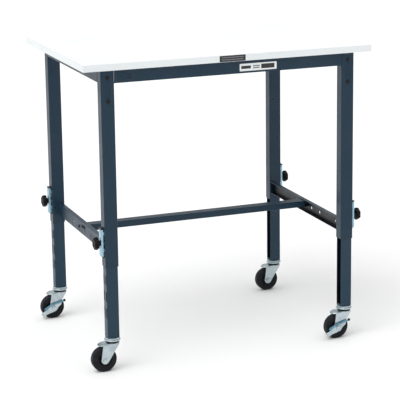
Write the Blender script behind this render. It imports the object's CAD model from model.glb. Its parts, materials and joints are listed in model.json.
"""Looks for the light work platform bench: a white board on a blue-grey steel frame with four
telescoping legs, zinc locking channels, black star knobs and swivel castors. Metres, +Z up."""
import json
import math
import random

import bmesh
import bpy
from mathutils import Matrix, Vector


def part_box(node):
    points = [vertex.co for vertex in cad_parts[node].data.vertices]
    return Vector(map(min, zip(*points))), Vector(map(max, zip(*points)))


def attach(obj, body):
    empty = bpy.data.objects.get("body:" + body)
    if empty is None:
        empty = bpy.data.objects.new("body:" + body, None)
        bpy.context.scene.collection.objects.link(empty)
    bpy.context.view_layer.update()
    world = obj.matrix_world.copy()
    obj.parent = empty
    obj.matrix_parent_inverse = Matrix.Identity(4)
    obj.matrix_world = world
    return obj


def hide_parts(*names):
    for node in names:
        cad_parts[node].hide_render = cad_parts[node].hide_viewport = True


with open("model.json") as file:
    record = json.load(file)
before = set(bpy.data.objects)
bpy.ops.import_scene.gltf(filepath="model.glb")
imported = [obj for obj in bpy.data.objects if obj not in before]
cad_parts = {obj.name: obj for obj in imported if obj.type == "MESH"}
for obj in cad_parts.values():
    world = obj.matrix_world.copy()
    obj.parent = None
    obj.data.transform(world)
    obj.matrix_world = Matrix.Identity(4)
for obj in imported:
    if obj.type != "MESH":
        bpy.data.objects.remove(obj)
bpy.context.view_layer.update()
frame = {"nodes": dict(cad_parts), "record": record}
nodes = frame["nodes"]
rng = random.Random(7)

CORNERS = ("fl", "fr", "bl", "br")
BRAKED = ("fr", "bl")
MM = 0.001
HOLLOW_COAT = (0.0012, 0.0018, 0.0028)

# Sizes in millimetres and angles in degrees that the pieces share with the CAD model
RACE_DROP = 9.7
RIVET_DROP = 4.3
CHEEK_T = 2.5
LEVER_TILT = 29.4
FILM_T = 0.24


def low(node):
    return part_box(node)[0]


def high(node):
    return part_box(node)[1]


def middle(node):
    return (low(node) + high(node)) / 2


def outward(corner):
    """-1 on the bench's left, +1 on its right."""
    return -1 if corner.endswith("l") else 1


# ---------- materials ----------


class Paint:
    """A node material whose colour, roughness and bump come from layered noise in object space."""

    def __init__(self, name, base, rough, metal=0.0, specular=0.5):
        self.material = bpy.data.materials.new(name)
        self.material.use_nodes = True
        self.tree = self.material.node_tree
        self.shader = self.tree.nodes["Principled BSDF"]
        self.shader.inputs["Base Color"].default_value = (*base, 1)
        self.shader.inputs["Roughness"].default_value = rough
        self.shader.inputs["Metallic"].default_value = metal
        self.shader.inputs["Specular IOR Level"].default_value = specular
        self.base = base
        self.rough = rough
        self.coord = self.tree.nodes.new("ShaderNodeTexCoord").outputs["Object"]
        self.height = None

    def node(self, kind, **values):
        made = self.tree.nodes.new(kind)
        for key, value in values.items():
            setattr(made, key, value)
        return made

    def link(self, source, target):
        self.tree.links.new(source, target)

    def noise(self, scale, detail=3.0, stretch=(1, 1, 1), roughness=0.5):
        mapping = self.node("ShaderNodeMapping")
        mapping.inputs["Scale"].default_value = stretch
        self.link(self.coord, mapping.inputs["Vector"])
        noise = self.node("ShaderNodeTexNoise")
        noise.inputs["Scale"].default_value = scale
        noise.inputs["Detail"].default_value = detail
        noise.inputs["Roughness"].default_value = roughness
        self.link(mapping.outputs["Vector"], noise.inputs["Vector"])
        return noise.outputs["Fac"]

    def ramp(self, source, low_at, high_at, low_value, high_value):
        ranged = self.node("ShaderNodeMapRange")
        ranged.inputs["From Min"].default_value = low_at
        ranged.inputs["From Max"].default_value = high_at
        ranged.inputs["To Min"].default_value = low_value
        ranged.inputs["To Max"].default_value = high_value
        self.link(source, ranged.inputs["Value"])
        return ranged.outputs["Result"]

    def math(self, operation, *values):
        made = self.node("ShaderNodeMath", operation=operation)
        for socket, value in zip(made.inputs, values):
            if isinstance(value, float):
                socket.default_value = value
            else:
                self.link(value, socket)
        return made.outputs["Value"]

    def within(self, spans, edge=0.3 * MM):
        """1 inside all the spans and 0 outside: each is an axis and two distances from the middle."""
        axes = self.node("ShaderNodeSeparateXYZ")
        self.link(self.coord, axes.inputs["Vector"])
        inside = None
        for axis, near, far in spans:
            distance = self.math("ABSOLUTE", axes.outputs[axis])
            away = self.math("ABSOLUTE", self.math("SUBTRACT", distance, (near + far) / 2))
            half = (far - near) / 2
            share = self.ramp(away, half - edge, half + edge, 1.0, 0.0)
            inside = share if inside is None else self.math("MULTIPLY", inside, share)
        return inside

    def blotch(self, source, colour, low_at, high_at, amount):
        """Mixes colour over what the base colour is so far, where source is high."""
        mix = self.node("ShaderNodeMix", data_type="RGBA")
        self.link(self.ramp(source, low_at, high_at, 0.0, amount), mix.inputs["Factor"])
        before = self.shader.inputs["Base Color"]
        if before.is_linked:
            self.link(before.links[0].from_socket, mix.inputs["A"])
        else:
            mix.inputs["A"].default_value = (*self.base, 1)
        mix.inputs["B"].default_value = (*colour, 1)
        self.link(mix.outputs["Result"], self.shader.inputs["Base Color"])
        return self

    def gloss(self, source, spread, low_at=0.3, high_at=0.7):
        self.link(self.ramp(source, low_at, high_at, self.rough - spread, self.rough + spread),
                  self.shader.inputs["Roughness"])
        return self

    def bump(self, source, depth, strength=1.0):
        made = self.node("ShaderNodeBump")
        made.inputs["Distance"].default_value = depth
        made.inputs["Strength"].default_value = strength
        self.link(source, made.inputs["Height"])
        if self.height is not None:
            self.link(self.height, made.inputs["Normal"])
        self.height = made.outputs["Normal"]
        self.link(self.height, self.shader.inputs["Normal"])
        return self


def powder_coat(name, base, dust, hollow):
    """Baked powder coat: orange peel, slight gloss patches, and pale dusty scuffs.
    The hollow side of the folded sheet takes only a thin, nearly black coat."""
    coat = Paint(name, base, 0.34, specular=0.25)
    coat.gloss(coat.noise(14, 4), 0.07)
    coat.blotch(coat.noise(9, 5), dust, 0.52, 0.80, 0.12)
    coat.blotch(coat.noise(160, 6, (1, 1, 0.15)), dust, 0.66, 0.80, 0.30)
    coat.blotch(coat.within(hollow), HOLLOW_COAT, 0.0, 1.0, 0.92)
    coat.bump(coat.noise(700, 2), 0.00007)
    coat.bump(coat.noise(120, 2), 0.00010, 0.5)
    return coat.material


def zinc_plate(name, base, rough, streak):
    """Bright zinc: cloudy passivation colours, fine rolling streaks and handling marks."""
    plate = Paint(name, base, rough, metal=0.85, specular=0.5)
    plate.gloss(plate.noise(60, 5), 0.10)
    plate.blotch(plate.noise(35, 4), streak, 0.45, 0.75, 0.55)
    plate.blotch(plate.noise(240, 6, (1, 1, 0.1)), (0.30, 0.34, 0.38), 0.62, 0.80, 0.45)
    plate.bump(plate.noise(900, 3, (1, 1, 0.08)), 0.00004)
    return plate.material


def melamine():
    """White melamine board: fine pearl texture, faint hand marks and dull patches."""
    board = Paint("melamine_white", (0.93, 0.94, 0.945), 0.42, specular=0.4)
    board.gloss(board.noise(5, 4), 0.08)
    board.blotch(board.noise(3.5, 5), (0.84, 0.86, 0.87), 0.50, 0.85, 0.35)
    board.blotch(board.noise(70, 8, (1, 6, 1)), (0.72, 0.74, 0.76), 0.70, 0.84, 0.35)
    board.bump(board.noise(1100, 2), 0.00004)
    return board.material


def edge_band():
    band = Paint("edge_band_grey", (0.79, 0.83, 0.84), 0.38, specular=0.4)
    band.gloss(band.noise(22, 4), 0.06)
    band.blotch(band.noise(40, 6, (0.2, 0.2, 1)), (0.66, 0.70, 0.72), 0.55, 0.80, 0.30)
    band.bump(band.noise(500, 2, (0.2, 0.2, 1)), 0.00005)
    return band.material


def rubber():
    tread = Paint("tyre_rubber", (0.007, 0.008, 0.011), 0.55, specular=0.20)
    tread.gloss(tread.noise(80, 4), 0.08)
    tread.blotch(tread.noise(45, 6), (0.05, 0.05, 0.052), 0.55, 0.85, 0.30)
    tread.bump(tread.noise(420, 4), 0.00012)
    return tread.material


def moulding(name, base, rough):
    part = Paint(name, base, rough, specular=0.14)
    part.gloss(part.noise(90, 4), 0.07)
    part.blotch(part.noise(60, 5), (0.03, 0.03, 0.035), 0.58, 0.82, 0.25)
    part.bump(part.noise(1300, 3), 0.00006)
    return part.material


def blackened():
    steel = Paint("bolt_black_oxide", (0.004, 0.005, 0.008), 0.32, specular=0.3)
    steel.gloss(steel.noise(200, 4), 0.10)
    steel.blotch(steel.noise(380, 5), (0.05, 0.06, 0.08), 0.62, 0.80, 0.25)
    steel.bump(steel.noise(900, 3), 0.00005)
    return steel.material


def film(name, base):
    """Printed sticker film: glossy, with tiny creases and a little fading."""
    skin = Paint(name, base, 0.30, specular=0.5)
    skin.gloss(skin.noise(70, 4), 0.08)
    faded = tuple(0.75 * c + 0.12 for c in base)
    skin.blotch(skin.noise(50, 5), faded, 0.5, 0.85, 0.30)
    skin.bump(skin.noise(160, 3), 0.00005)
    return skin.material


LIP = 0.5 * MM
HALF_SHEET = 1 * MM
bar_low, bar_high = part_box("crossbar_right")
bar_hollow = [("X", bar_low.x + LIP, bar_high.x - HALF_SHEET), ("Y", -bar_high.y, bar_high.y),
              ("Z", bar_low.z + HALF_SHEET, bar_high.z - HALF_SHEET)]
tube_low, tube_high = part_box("inner_leg_br")
tube_hollow = [("X", tube_low.x + LIP, tube_high.x - HALF_SHEET),
               ("Y", tube_low.y + HALF_SHEET, tube_high.y - HALF_SHEET)]
FRAME_PAINT = powder_coat("frame_powder_coat", (0.011, 0.032, 0.056), (0.05, 0.07, 0.09), bar_hollow)
INNER_PAINT = powder_coat("inner_leg_powder_coat", (0.014, 0.039, 0.066), (0.06, 0.08, 0.10),
                          tube_hollow)
ZINC_BLUE = zinc_plate("zinc_blue_bright", (0.34, 0.54, 0.64), 0.30, (0.20, 0.38, 0.50))
ZINC_TEAL = zinc_plate("zinc_teal", (0.13, 0.28, 0.37), 0.30, (0.06, 0.14, 0.20))
ZINC = zinc_plate("zinc_plate", (0.50, 0.58, 0.61), 0.24, (0.24, 0.31, 0.35))
GREASED = zinc_plate("greased_steel", (0.05, 0.06, 0.065), 0.35, (0.02, 0.025, 0.03))
BOARD = melamine()
BAND = edge_band()
RUBBER = rubber()
KNOB = moulding("knob_moulding", (0.003, 0.003, 0.005), 0.45)
HUB = moulding("hub_moulding", (0.016, 0.016, 0.020), 0.50)
BLACK_BOLT = blackened()
INK_DARK = film("film_dark", (0.014, 0.014, 0.017))
INK_WHITE = film("film_white", (0.80, 0.82, 0.83))
INK_GREY = film("film_grey", (0.16, 0.17, 0.19))

# ---------- mesh helpers ----------


def piece(name, mesh, material, body, replaced=(), bevel=0.0, smooth=40):
    """Turns a bmesh into a finished object that rides on a body and may stand for CAD nodes."""
    bmesh.ops.recalc_face_normals(mesh, faces=mesh.faces)
    data = bpy.data.meshes.new(name)
    mesh.to_mesh(data)
    mesh.free()
    made = bpy.data.objects.new(name, data)
    bpy.context.scene.collection.objects.link(made)
    for each in material if isinstance(material, (list, tuple)) else [material]:
        data.materials.append(each)
    soften(made, bevel, smooth)
    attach(made, body)
    if replaced:
        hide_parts(*replaced)
    return made


def soften(made, bevel, smooth):
    """Eased edges, then smooth shading up to an angle, as modifiers."""
    if bevel:
        rounded = made.modifiers.new("eased_edges", "BEVEL")
        rounded.width = bevel
        rounded.segments = 2
        rounded.limit_method = "ANGLE"
        rounded.angle_limit = math.radians(35)
        rounded.use_clamp_overlap = True
    if smooth:
        made.data.polygons.foreach_set("use_smooth", [True] * len(made.data.polygons))
        made.data.update()
        if hasattr(made.data, "set_sharp_from_angle"):
            made.data.set_sharp_from_angle(angle=math.radians(smooth))


def placed(axis, centre, out=1):
    """A frame whose local Z runs along the world axis, times out, at centre."""
    turn = {"x": Matrix.Rotation(math.radians(90), 4, "Y"),
            "y": Matrix.Rotation(math.radians(-90), 4, "X"),
            "z": Matrix.Identity(4)}[axis]
    flip = Matrix.Rotation(math.pi, 4, "X") if out < 0 else Matrix.Identity(4)
    return Matrix.Translation(centre) @ turn @ flip


def arc(centre, radius, start, end, steps):
    """Points along an arc in profile space, angles in degrees."""
    points = []
    for i in range(steps + 1):
        turn = math.radians(start + (end - start) * i / steps)
        points.append((centre[0] + radius * math.cos(turn), centre[1] + radius * math.sin(turn)))
    return points


def lathe(mesh, profile, where, steps=72, radius_at=None):
    """Revolves (radius, height) points round local Z; radius_at(angle, r) may shape the outline."""
    rings = []
    for i in range(steps):
        turn = 2 * math.pi * i / steps
        ring = []
        for radius, height in profile:
            r = radius_at(turn, radius) if radius_at else radius
            ring.append(mesh.verts.new(where @ Vector((r * math.cos(turn), r * math.sin(turn), height))))
        rings.append(ring)
    last = len(profile) - 1
    for i in range(steps):
        a, b = rings[i], rings[(i + 1) % steps]
        for j in range(last):
            mesh.faces.new((a[j], b[j], b[j + 1], a[j + 1]))
    if profile[0] != profile[last]:
        for j in (0, last):
            mesh.faces.new([ring[j] for ring in rings])
    return mesh


def closed_lathe(mesh, profile, where, steps=72):
    """Revolves a closed outline, such as a tyre's section, round local Z."""
    rings = []
    for i in range(steps):
        turn = 2 * math.pi * i / steps
        rings.append([mesh.verts.new(where @ Vector((r * math.cos(turn), r * math.sin(turn), h)))
                      for r, h in profile])
    for i in range(steps):
        a, b = rings[i], rings[(i + 1) % steps]
        for j in range(len(profile)):
            k = (j + 1) % len(profile)
            mesh.faces.new((a[j], b[j], b[k], a[k]))
    return mesh


def slab(mesh, outline, thick, where, index=0):
    """A plate: an outline in local XY, from local Z 0 to thick."""
    under = [mesh.verts.new(where @ Vector((x, y, 0))) for x, y in outline]
    over = [mesh.verts.new(where @ Vector((x, y, thick))) for x, y in outline]
    faces = [mesh.faces.new(list(reversed(under))), mesh.faces.new(over)]
    count = len(outline)
    for i in range(count):
        j = (i + 1) % count
        faces.append(mesh.faces.new((under[i], under[j], over[j], over[i])))
    for face in faces:
        face.material_index = index
    return mesh


def oblong(width, height, radius, centre=(0, 0), steps=6):
    """Rounded rectangle as a list of points."""
    points = []
    for sx, sy, start in ((1, 1, 0), (-1, 1, 90), (-1, -1, 180), (1, -1, 270)):
        corner = (centre[0] + sx * (width / 2 - radius), centre[1] + sy * (height / 2 - radius))
        points += arc(corner, radius, start, start + 90, steps)
    return points


def scaled(points):
    return [(x * MM, y * MM) for x, y in points]


# ---------- carried-over CAD nodes ----------

CAD_LOOKS = {
    "frame_paint": (FRAME_PAINT, 0.5 * MM),
    "inner_paint": (INNER_PAINT, 0.3 * MM),
    "zinc": (ZINC, 0.2 * MM),
    "zinc_blue": (ZINC_BLUE, 0.4 * MM),
    "board_white": (BOARD, 0.0),
    "edge_grey": (BAND, 0.8 * MM),
    "bolt_black": (BLACK_BOLT, 0.0),
    "knob_black": (KNOB, 0.0),
    "tyre": (RUBBER, 0.0),
    "hub_black": (HUB, 0.0),
    "sticker_dark": (INK_DARK, 0.0),
    "sticker_white": (INK_WHITE, 0.0),
}


def dress_cad_nodes():
    for part in frame["record"]["subparts"]:
        made = nodes[part["node"]]
        material, bevel = CAD_LOOKS[part["material_slot"]]
        if not made.material_slots:
            made.data.materials.append(material)
        for each in made.material_slots:
            each.material = material
        if bevel:
            weld = made.modifiers.new("weld", "WELD")
            weld.merge_threshold = 0.005 * MM
            soften(made, bevel, 0)


# ---------- castors ----------


def castor_race(corner):
    """Fixed upper race with its rolled rim, king pin, rivet head and threaded stem."""
    stem = middle("castor_stem_" + corner)
    top = high("castor_stem_" + corner).z
    bottom = low("castor_stem_" + corner).z
    leg_end = low("inner_leg_" + corner).z
    race = leg_end - RACE_DROP * MM
    profile = [(0.2 * MM, bottom), (5 * MM, bottom), (8 * MM, bottom + 0.8 * MM),
               (9 * MM, bottom + 2.2 * MM), (9 * MM, bottom + 4 * MM), (5 * MM, bottom + 4 * MM),
               (5 * MM, race), (22 * MM, race)]
    profile += arc((22.4 * MM, race + 1.8 * MM), 1.6 * MM, -90, 0, 4)
    profile += arc((22.4 * MM, race + 3.0 * MM), 1.6 * MM, 0, 80, 4)
    profile += [(20.8 * MM, race + 5.2 * MM), (20.6 * MM, race + 6.0 * MM), (21.6 * MM, race + 6.6 * MM),
                (22 * MM, race + 7.4 * MM), (21.6 * MM, leg_end - 0.5 * MM), (20.8 * MM, leg_end),
                (6 * MM, leg_end), (6 * MM, top - 1 * MM), (5.2 * MM, top), (0.2 * MM, top)]
    mesh = bmesh.new()
    lathe(mesh, profile, Matrix.Translation((stem.x, stem.y, 0)))
    piece("castor_race_" + corner, mesh, ZINC, "leg_" + corner, ["castor_stem_" + corner])


def tangent_point(start, centre, radius, side):
    """Where a line from start touches the circle, on the given side."""
    away = (centre[0] - start[0], centre[1] - start[1])
    reach = math.hypot(*away)
    turn = math.atan2(away[1], away[0]) + side * (math.asin(radius / reach) + math.pi / 2)
    return math.degrees(turn)


def crown_plate(mesh, outline, where):
    """The fork's top: flat under the cup, then sloping down behind it over the wheel."""
    def drop(x):
        return -0.16 * max(0, -19 - x)

    def ring(shrink, lift):
        return [mesh.verts.new(where @ (MM * Vector((x * shrink, y * shrink, lift + drop(x)))))
                for x, y in outline]

    rings = [ring(1, 0), ring(1, 2.2), ring(0.96, 3)]
    for a, b in zip(rings, rings[1:]):
        for i in range(len(outline)):
            j = (i + 1) % len(outline)
            mesh.faces.new((a[i], a[j], b[j], b[i]))
    for ends, lift in ((rings[0], 0), (rings[-1], 3)):
        centre = mesh.verts.new(where @ (MM * Vector((-8, 0, lift))))
        for i in range(len(outline)):
            mesh.faces.new((ends[i], ends[(i + 1) % len(outline)], centre))


def fork(corner):
    """Pressed fork: crown with its cup, a mudguard lip over the wheel, and two tapered cheeks."""
    stem = middle("castor_stem_" + corner)
    axle = middle("hub_" + corner)
    here = Matrix.Translation((stem.x, stem.y, 0))
    trail = (axle.x - stem.x) / MM
    crown = low("castor_stem_" + corner).z / MM + RIVET_DROP
    outline = arc((trail, 0), 18, 90, 270, 24) + arc((0, 0), 21, -121, 121, 40)
    mesh = bmesh.new()
    crown_plate(mesh, outline, here @ Matrix.Translation((0, 0, crown * MM)))
    cup = [(5.1, crown + 3.02), (19.4, crown + 3.02), (19.2, crown + 4), (17.6, crown + 4.8),
           (15.6, crown + 5.2), (15.2, crown + 6), (15.2, crown + 7.8), (14.4, crown + 8.3), (5.1, crown + 8.3)]
    seat = bmesh.new()
    lathe(seat, scaled(cup), here)
    piece("castor_cup_" + corner, seat, GREASED, "castor_" + corner)
    centre = (trail, axle.z / MM)
    left, right = (-33.5, crown + 1), (16, crown + 1)
    first = tangent_point(right, centre, 12, 1)
    last = tangent_point(left, centre, 12, -1)
    cheek = [left, right] + arc(centre, 12, first, last if last < first else last - 360, 20)
    upright = Matrix.Rotation(math.radians(90), 4, "X")
    for side in (-1, 1):
        face = 18 if side < 0 else -15.5
        slab(mesh, scaled(cheek), CHEEK_T * MM,
             here @ upright @ Matrix.Translation((0, 0, (face - CHEEK_T) * MM)))
    piece("castor_fork_" + corner, mesh, ZINC, "castor_" + corner, ["fork_" + corner],
          bevel=0.6 * MM)


def wheel(corner):
    """Rubber tyre with ringed sidewalls and a moulded, ribbed hub."""
    centre = middle("hub_" + corner)
    where = placed("y", centre)
    half = [(22, -10.4), (22.8, -11.9), (24.5, -12.5), (27.6, -12.5), (28.2, -12.0), (29.4, -12.0),
            (30, -12.5), (32.3, -12.5)] + arc((32.5, -7.5), 5, -88, -4, 8)
    section = half + [(37.5, -3)] + [(r, -h) for r, h in reversed(half + [(37.5, -3)])]
    mesh = bmesh.new()
    closed_lathe(mesh, scaled(section), where, 96)
    piece("castor_tyre_" + corner, mesh, RUBBER, "wheel_" + corner, ["tyre_" + corner])
    side = [(4.1, -15.1), (8.4, -15.1), (9, -14.5), (9.8, -6.2), (11, -5), (16.6, -5), (18.2, -6.2),
            (18.8, -10.6), (19.4, -11.2), (21.9, -11.2)]
    section = side + [(r, -h) for r, h in reversed(side)]
    mesh = bmesh.new()
    closed_lathe(mesh, scaled(section), where, 96)
    for k in range(6):
        turned = where @ Matrix.Rotation(k * math.pi / 3, 4, "Z")
        for face in (-10.4, 4.9):
            rib = [(9.2, -0.9), (18.9, -0.9), (18.9, 0.9), (9.2, 0.9)]
            slab(mesh, scaled(rib), 5.5 * MM, turned @ Matrix.Translation((0, 0, face * MM)))
    piece("castor_hub_" + corner, mesh, HUB, "wheel_" + corner, ["hub_" + corner])


def hexagon(across):
    reach = across / math.sqrt(3)
    return [(reach * math.cos(k * math.pi / 3), reach * math.sin(k * math.pi / 3)) for k in range(6)]


def axle_bolt(corner):
    """Hex bolt with washers and a collared lock nut through the fork."""
    start = low("axle_" + corner).y / MM
    end = high("axle_" + corner).y / MM
    centre = middle("hub_" + corner)
    where = placed("y", Vector((centre.x, 0, centre.z)))
    mesh = bmesh.new()
    shank = [(0.1, start + 1), (4, start + 1), (4, end - 0.6), (3.4, end), (0.1, end)]
    lathe(mesh, scaled(shank), where, 32)
    head = [(0.1, start), (5.2, start), (6.1, start + 0.5), (6.1, start + 1.5), (0.1, start + 1.5)]
    lathe(mesh, scaled(head), where, 32)
    slab(mesh, scaled(hexagon(12.1)), 2.7 * MM, where @ Matrix.Translation((0, 0, (start + 0.9) * MM)))
    slab(mesh, scaled(hexagon(12.1)), 2.7 * MM, where @ Matrix.Translation((0, 0, (end - 3.7) * MM)))
    for at in (start + 3.6, end - 4.5):
        washer = [(4.1, at), (7.6, at), (7.9, at + 0.3), (7.9, at + 0.6), (7.6, at + 0.9), (4.1, at + 0.9)]
        closed_lathe(mesh, scaled(washer), where, 40)
    piece("castor_axle_" + corner, mesh, ZINC, "castor_" + corner, ["axle_" + corner],
          bevel=0.25 * MM)


def brake_lever(corner):
    """Stamped rocker on the axle bolt: pedal tab at the back, rubber-capped tip at the front."""
    node = "brake_lever_" + corner
    centre = middle("hub_" + corner)
    plate_back = high(node).y
    tilt = math.radians(LEVER_TILT)
    upright = Matrix.Rotation(math.radians(90), 4, "X")
    where = Matrix.Translation((centre.x, plate_back, centre.z)) @ upright
    tilted = where @ Matrix.Rotation(tilt, 4, "Z")
    mesh = bmesh.new()
    closed_lathe(mesh, scaled([(4.1, 0.05), (12.4, 0.05), (13, 0.6), (13, 1.8), (12.4, 2.25), (4.1, 2.25)]),
                 where, 48)
    plate = [(-45, 6), (-45, -6), (-43, -7), (-30, -7), (-20, -8.5), (-12, -11)]
    plate += arc((0, 0), 13, 240, 310, 8) + [(15, -7), (26, -5), (30, 0), (28, 4.5), (20, 6.5)]
    plate += arc((0, 0), 13, 58, 125, 8) + [(-16, 8), (-28, 6.6), (-43, 7)]
    slab(mesh, scaled(plate), 2.0 * MM, tilted @ Matrix.Translation((0, 0, 0.3 * MM)))
    swage = oblong(24, 4.4, 2.1, (-26, 0))
    slab(mesh, scaled(swage), 0.9 * MM, tilted @ Matrix.Translation((0, 0, 2.2 * MM)))
    tab = [(-45, -6.4), (-42.6, -6.4), (-42.6, 6.4), (-45, 6.4)]
    slab(mesh, scaled(tab), 8.0 * MM, tilted @ Matrix.Translation((0, 0, 0.3 * MM)))
    piece("castor_brake_" + corner, mesh, ZINC, "brake_" + corner, [node], bevel=0.5 * MM)
    arm = bmesh.new()
    shoe = [(-30, 12.5), (-27, 7.8), (-14, 8.6), (0, 9.4), (16, 4.2), (30, 1.2), (38, -2.2), (41.5, -1.4), (41.5, 4.4),
            (31, 7.6), (17, 11.4), (2, 15.4), (-16, 15.6), (-27, 15.8)]
    slab(arm, scaled(shoe), 1.2 * MM, tilted @ Matrix.Translation((0, 0, 2.4 * MM)))
    piece("castor_brake_arm_" + corner, arm, ZINC_TEAL, "brake_" + corner, bevel=0.4 * MM)
    cap = bmesh.new()
    slab(cap, scaled(oblong(6, 8.2, 1.6, (42, 1.4))), 3.4 * MM,
         tilted @ Matrix.Translation((0, 0, 1.3 * MM)))
    piece("castor_brake_tip_" + corner, cap, KNOB, "brake_" + corner, bevel=0.8 * MM)


# ---------- locks and knobs ----------


def star(angle, radius):
    """Six soft lobes beyond the neck, fading in with the radius."""
    neck, rim = 8.5 * MM, 19 * MM
    weight = min(max((radius - neck) / (rim - neck), 0), 1)
    dip = 0.5 - 0.5 * math.cos(6 * angle)
    return radius * (1 - 0.17 * weight * dip ** 1.3)


def knob(corner):
    """Moulded star knob with a recessed face, and its threaded steel stud and retaining clip."""
    out = outward(corner)
    stop = high if out > 0 else low
    face = stop("lock_channel_" + corner).x
    where = placed("x", Vector((face, middle("knob_" + corner).y, middle("knob_" + corner).z)), out)
    profile = [(4.2, 0.3), (7.4, 0.3), (8, 0.9), (8, 4.8), (8.6, 5.5), (15.5, 5.5), (17.6, 6.3), (18.8, 8.4),
               (19, 11), (18.8, 14.4), (17.9, 17), (16.2, 18.7), (13.8, 19.4), (11.2, 19.5), (10.2, 18.9),
               (9.6, 18.3), (0.3, 18.1)]
    mesh = bmesh.new()
    lathe(mesh, scaled(profile), where, 96, star)
    piece("star_knob_" + corner, mesh, KNOB, "knob_" + corner, ["knob_" + corner], smooth=50)
    tip = -6.7
    thread = [(0.2, tip), (3.2, tip)]
    for k in range(4):
        thread += [(3.95, tip + 0.62 + 1.25 * k), (3.3, tip + 1.25 + 1.25 * k)]
    thread += [(3.95, -1), (3.95, 0.6), (0.2, 0.6)]
    stud = bmesh.new()
    lathe(stud, scaled(thread), where, 40)
    closed_lathe(stud, scaled([(4, -3.3), (6.5, -3.3), (6.5, -2.3), (4, -2.3)]), where, 40)
    piece("knob_stud_" + corner, stud, ZINC, "knob_" + corner)


def lock_washer(corner):
    """Thin washer pressed round the stud hole of the locking channel."""
    out = outward(corner)
    stop = high if out > 0 else low
    face = stop("lock_channel_" + corner).x
    where = placed("x", Vector((face, middle("knob_" + corner).y, middle("knob_" + corner).z)), out)
    mesh = bmesh.new()
    closed_lathe(mesh, scaled([(8.3, -0.2), (10, -0.2), (10, 0.05), (9.7, 0.25), (8.6, 0.25), (8.3, 0.05)]),
                 where, 48)
    piece("lock_seat_" + corner, mesh, ZINC, "lock_" + corner)


# ---------- fasteners, welds and stickers ----------

DOME = [(0.1, 2.0), (2.5, 2.0), (2.7, 3.4), (3.2, 3.5), (4.4, 3.1), (5.4, 2.3), (6.0, 1.2), (6.0, -0.1),
        (0.1, -0.1)]


def dome_heads(name, node, places, size, body="frame"):
    mesh = bmesh.new()
    for where in places:
        lathe(mesh, [(r * size * MM, h * size * MM) for r, h in DOME], where, 40)
    piece(name, mesh, BLACK_BOLT, body, [node], smooth=35)


def leg_bolts():
    front, back = low("apron_front").y, high("apron_back").y
    top = high("outer_leg_fl").z
    places = []
    for corner in CORNERS:
        x = middle("inner_leg_" + corner).x
        for drop in (21 * MM, 89 * MM):
            y, out = (front, -1) if corner[0] == "f" else (back, 1)
            places.append(placed("y", Vector((x, y, top - drop)), out))
    dome_heads("leg_bolt_heads", "leg_bolts", places, 1.0)


def stretcher_bolts():
    beam = middle("stretcher")
    places = []
    for out, side in ((-1, "crossbar_left"), (1, "crossbar_right")):
        face = (low(side) if out < 0 else high(side)).x
        for y in (-9 * MM, 9 * MM):
            places.append(placed("x", Vector((face, y, beam.z)), out))
    spare = Vector((low("crossbar_left").x, 45 * MM, low("crossbar_left").z + 18 * MM))
    places.append(placed("x", spare, -1))
    dome_heads("stretcher_bolt_heads", "stretcher_bolts", places, 0.83)


def bead(mesh, start, end, radius):
    """A weld bead: a rippled half-round run between two points."""
    start, end = Vector(start), Vector(end)
    along = (end - start).normalized()
    side = along.orthogonal().normalized()
    up = along.cross(side)
    length = (end - start).length
    steps = max(int(length / (0.9 * MM)), 4)
    rings = []
    for i in range(steps + 1):
        t = i / steps
        taper = min(1, 6 * t + 0.25, 6 * (1 - t) + 0.25)
        swell = radius * taper * (1 + 0.16 * math.sin(i * 2.1) + rng.uniform(-0.06, 0.06))
        at = start + (end - start) * t
        ring = []
        for k in range(10):
            turn = 2 * math.pi * k / 10
            ring.append(mesh.verts.new(at + swell * (math.cos(turn) * side + math.sin(turn) * up)))
        rings.append(ring)
    for a, b in zip(rings, rings[1:]):
        for k in range(10):
            mesh.faces.new((a[k], a[(k + 1) % 10], b[(k + 1) % 10], b[k]))
    mesh.faces.new(list(reversed(rings[0])))
    mesh.faces.new(rings[-1])


def weld_beads():
    mesh = bmesh.new()
    for side in ("crossbar_left", "crossbar_right"):
        a, b = low(side), high(side)
        web = a.x if side.endswith("left") else b.x
        lip = b.x if side.endswith("left") else a.x
        for y in (a.y, b.y):
            bead(mesh, (web, y, a.z), (web, y, b.z), 1.5 * MM)
            bead(mesh, (web, y, b.z), (lip, y, b.z), 1.3 * MM)
            bead(mesh, (web, y, a.z), (lip, y, a.z), 1.3 * MM)
    for apron in ("apron_front", "apron_back"):
        a, b = low(apron), high(apron)
        for x in (a.x, b.x):
            bead(mesh, (x, a.y + 2 * MM, a.z), (x, b.y - 2 * MM, a.z), 1.3 * MM)
    for apron in ("apron_left", "apron_right"):
        a, b = low(apron), high(apron)
        for y in (a.y, b.y):
            bead(mesh, (a.x + 2 * MM, y, a.z), (b.x - 2 * MM, y, a.z), 1.3 * MM)
    piece("weld_beads", mesh, FRAME_PAINT, "frame")


def sticker(node, base, marks):
    """A film with plain bars: each mark is (x, z, width, height, ink) in shares of the film."""
    a, b = low(node), high(node)
    wide, tall = b.x - a.x, b.z - a.z
    upright = Matrix.Translation((a.x, b.y, a.z)) @ Matrix.Rotation(math.radians(90), 4, "X")
    mesh = bmesh.new()
    film_outline = oblong(wide, tall, 1.5 * MM, (wide / 2, tall / 2), 4)
    slab(mesh, film_outline, FILM_T * MM, upright)
    inks = [base]
    for x, z, width, height, ink in marks:
        if ink not in inks:
            inks.append(ink)
        spot = ((x + width / 2) * wide, (z + height / 2) * tall)
        bar = oblong(width * wide, height * tall, 0.3 * MM, spot, 2)
        slab(mesh, bar, 0.05 * MM, upright @ Matrix.Translation((0, 0, FILM_T * MM)), inks.index(ink))
    piece(node + "_film", mesh, inks, "frame", [node], smooth=0)


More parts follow.
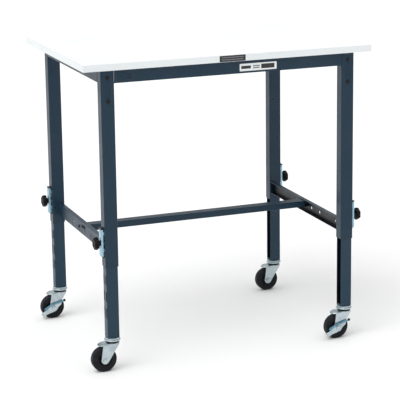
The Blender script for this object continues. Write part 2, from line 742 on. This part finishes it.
dress_cad_nodes()
for corner in CORNERS:
    castor_race(corner)
    fork(corner)
    wheel(corner)
    axle_bolt(corner)
    knob(corner)
    lock_washer(corner)
for corner in BRAKED:
    brake_lever(corner)
leg_bolts()
stretcher_bolts()
weld_beads()
sticker("label_top", INK_DARK,
        [(0.08, 0.62, 0.84, 0.14, INK_GREY), (0.08, 0.26, 0.84, 0.14, INK_GREY)])
sticker("label_apron", INK_WHITE,
        [(0.04, 0.30, 0.26, 0.40, INK_DARK), (0.36, 0.54, 0.18, 0.16, INK_GREY),
         (0.36, 0.28, 0.18, 0.16, INK_GREY), (0.58, 0.20, 0.36, 0.62, INK_DARK)])

# ---------- floor, light and camera ----------


def floor_and_light():
    mesh = bmesh.new()
    bmesh.ops.create_grid(mesh, x_segments=8, y_segments=8, size=30)
    data = bpy.data.meshes.new("floor")
    mesh.to_mesh(data)
    mesh.free()
    floor = bpy.data.objects.new("floor", data)
    bpy.context.scene.collection.objects.link(floor)
    paper = Paint("paper_floor", (0.93, 0.93, 0.93), 0.9, specular=0.1)
    paper.gloss(paper.noise(3, 2), 0.02)
    data.materials.append(paper.material)

    world = bpy.data.worlds.new("studio")
    bpy.context.scene.world = world
    world.use_nodes = True
    sky = world.node_tree.nodes["Background"]
    sky.inputs["Color"].default_value = (1, 1, 1, 1)
    sky.inputs["Strength"].default_value = 0.60
    soft_sun("key_left", (-1.6, -0.9, 2.4), 50, 1.5)
    soft_sun("fill_top", (0.3, 0.5, 3.0), 90, 0.7)


def soft_sun(name, direction, spread, strength):
    """A far, broad light, so the floor is lit the same everywhere."""
    light = bpy.data.lights.new(name, "SUN")
    light.angle = math.radians(spread)
    light.energy = strength
    made = bpy.data.objects.new(name, light)
    made.rotation_euler = (-Vector(direction)).to_track_quat("-Z", "Y").to_euler()
    bpy.context.scene.collection.objects.link(made)


def camera():
    """A long lens from the front left, a little above the worktop."""
    azimuth, elevation, roll = math.radians(-22.23), math.radians(12.85), math.radians(-0.47)
    place = Vector((-1.7608, -4.6614, 1.6752))
    back = Vector((math.sin(azimuth) * math.cos(elevation), -math.cos(azimuth) * math.cos(elevation),
                   math.sin(elevation)))
    right = (-back).cross(Vector((0, 0, 1))).normalized()
    up = right.cross(-back)
    turned_right = math.cos(roll) * right + math.sin(roll) * up
    turned_up = math.cos(roll) * up - math.sin(roll) * right
    lens = bpy.data.cameras.new("camera")
    lens.lens, lens.sensor_width = 148.1, 36
    lens.shift_x, lens.shift_y = -0.1, -0.1
    lens.clip_end = 100
    made = bpy.data.objects.new("camera", lens)
    turn = Matrix((turned_right, turned_up, back)).transposed()
    made.matrix_world = Matrix.Translation(place) @ turn.to_4x4()
    bpy.context.scene.collection.objects.link(made)
    bpy.context.scene.camera = made


floor_and_light()
camera()
bpy.context.scene.view_settings.view_transform = "Standard"
